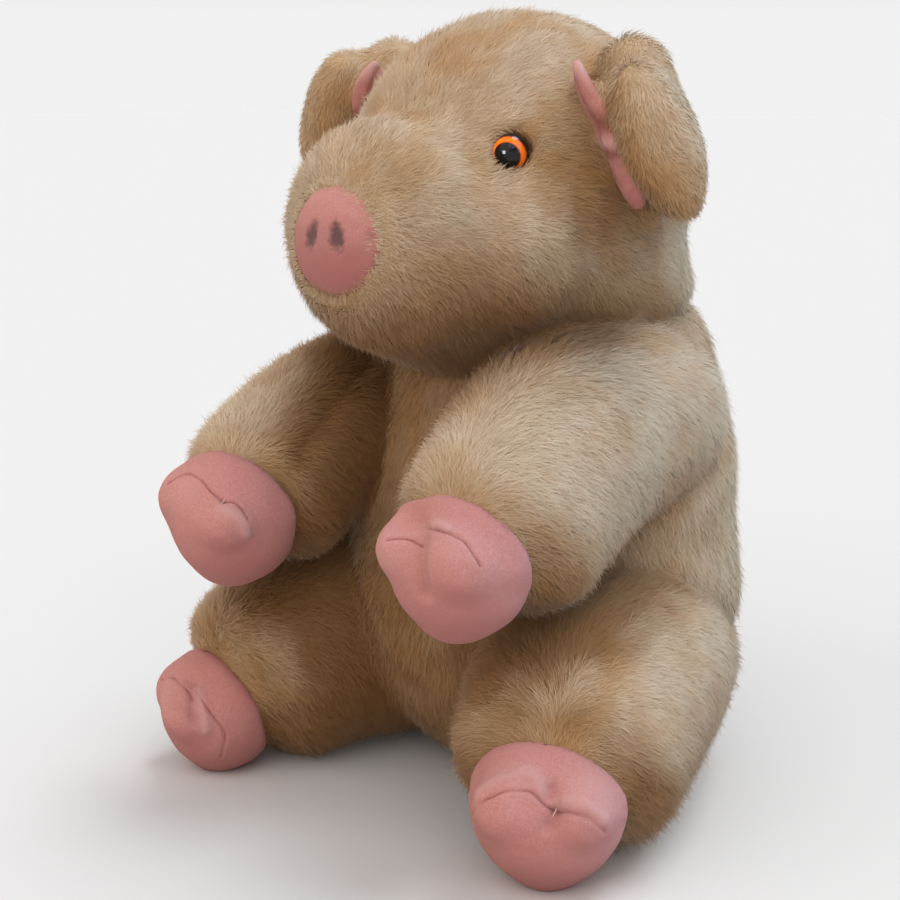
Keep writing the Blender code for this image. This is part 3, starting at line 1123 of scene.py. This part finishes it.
def eye_material():
    """Black pupil, amber iris with darker rims, and black round it."""
    made, tree, shader = new_material("eye")
    pupil = [(0.0, PUPIL), (0.258, PUPIL)]
    iris = [(0.270, EMBER), (0.292, AMBER), (0.365, AMBER), (0.40, EMBER)]
    colour = ramp(tree, attribute(tree, "off"), [*pupil, *iris, (0.425, PUPIL)])
    tree.links.new(colour, shader.inputs["Base Color"])
    tune(shader, {"Roughness": 0.03, "Specular IOR Level": 0.35})
    return made


# ---------------------------------------------------------------- the scene

def make_camera():
    data = bpy.data.cameras.new("camera")
    data.lens = LENS
    data.sensor_width = 36
    camera = bpy.data.objects.new("camera", data)
    bpy.context.scene.collection.objects.link(camera)
    flat = math.cos(ELEVATION)
    back = Vector((math.sin(AZIMUTH) * flat, -math.cos(AZIMUTH) * flat, math.sin(ELEVATION)))
    camera.location = LOOK_AT + back * DISTANCE
    camera.rotation_euler = (-back).to_track_quat("-Z", "Y").to_euler()
    data.clip_start = 0.01
    bpy.context.scene.camera = camera


def make_floor():
    """A wide floor, of the brightness at which its far edge melts into the backdrop."""
    bm = bmesh.new()
    bmesh.ops.create_grid(bm, x_segments=8, y_segments=8, size=12)
    floor = object_from(bm, "floor")
    made, _, shader = new_material("floor")
    tune(shader, {"Base Color": FLOOR_COLOUR, "Roughness": 1.0, "Specular IOR Level": 0.0})
    floor.data.materials.append(made)
    return floor


def place_lamp(name, data, place, at):
    lamp = bpy.data.objects.new(name, data)
    bpy.context.scene.collection.objects.link(lamp)
    lamp.location = place
    lamp.rotation_euler = (Vector(at) - Vector(place)).to_track_quat("-Z", "Y").to_euler()
    return lamp


def light_only(lamp, pieces):
    """Keeps this lamp's light to these pieces."""
    lit = bpy.data.collections.new(lamp.name + "_lit")
    for piece in pieces:
        lit.objects.link(piece)
    lamp.light_linking.receiver_collection = lit


def make_sun(name, place, spread_deg, power, colour, only=()):
    """A sun that shines from this place's direction, on every piece or only on some."""
    data = bpy.data.lights.new(name, "SUN")
    data.angle = math.radians(spread_deg)
    data.energy = power
    data.color = colour
    lamp = place_lamp(name, data, place, LOOK_AT)
    if only:
        light_only(lamp, only)


def make_catch_light(eyes):
    """A lamp in front that lights only the eyes, for the bright point in each."""
    data = bpy.data.lights.new("catch", "AREA")
    data.size = 0.24
    data.energy = 4.0
    lamp = place_lamp("catch", data, (-0.08, -0.756, 0.2225), centre("eye_left"))
    lamp.visible_camera = False
    light_only(lamp, eyes)


def make_world():
    """A studio all round: pale up to the horizon, dim and warm above it, cooler overhead."""
    world = bpy.data.worlds.new("studio")
    bpy.context.scene.world = world
    world.use_nodes = True
    tree = world.node_tree
    direction = tree.nodes.new("ShaderNodeTexCoord")
    split = tree.nodes.new("ShaderNodeSeparateXYZ")
    tree.links.new(direction.outputs["Generated"], split.inputs[0])
    pale, warm, cool = (0.88, 0.88, 0.88), (0.35, 0.28, 0.21), (0.47, 0.49, 0.53)
    colour = ramp(tree, split.outputs["Z"], [(0.0, pale), (0.04, pale), (0.20, warm), (1.0, cool)])
    tree.links.new(colour, tree.nodes["Background"].inputs["Color"])


def make_lights(pig, eyes):
    """Soft daylight from above, weaker from the side and front, and a cool rim that only the pig takes."""
    make_sun("overhead", (0.12, 0.30, 1.2), 30, 1.35, (0.94, 0.97, 1.0))
    make_sun("side", (0.8, -0.7, 1.2), 45, 0.60, (1.0, 0.98, 0.95))
    make_sun("front", (-0.2, -1.2, 0.7), 70, 0.85, (1.0, 0.97, 0.93))
    make_sun("rim", (1.0, 0.6, 0.5), 90, 2.5, (0.12, 0.52, 1.0), pig)
    make_sun("behind", (-0.8, 1.0, 0.6), 90, 0.25, (0.90, 0.95, 1.0))
    make_catch_light(eyes)
    make_world()
    bpy.context.scene.view_settings.view_transform = "Standard"


def build():
    make_camera()
    floor = make_floor()
    velour, gloss = velour_material(), eye_material()
    eyes = [make_eye(node, gloss) for node in EYES]
    linings = [make_lining(node, velour) for node in LININGS]
    hooves = [make_hoof(node, velour) for node in HOOVES]
    skin, fields = make_skin(linings, hooves)
    make_coat(skin, fields, fur_material())
    finish_piece(skin, skin_material(), "fur", *FLESH)
    make_snout(velour)
    make_tail(velour)
    make_stitches(thread_material())
    made = [piece for piece in bpy.context.scene.objects if piece.type == "MESH" and not piece.hide_render]
    make_lights([piece for piece in made if piece is not floor], eyes)


build()
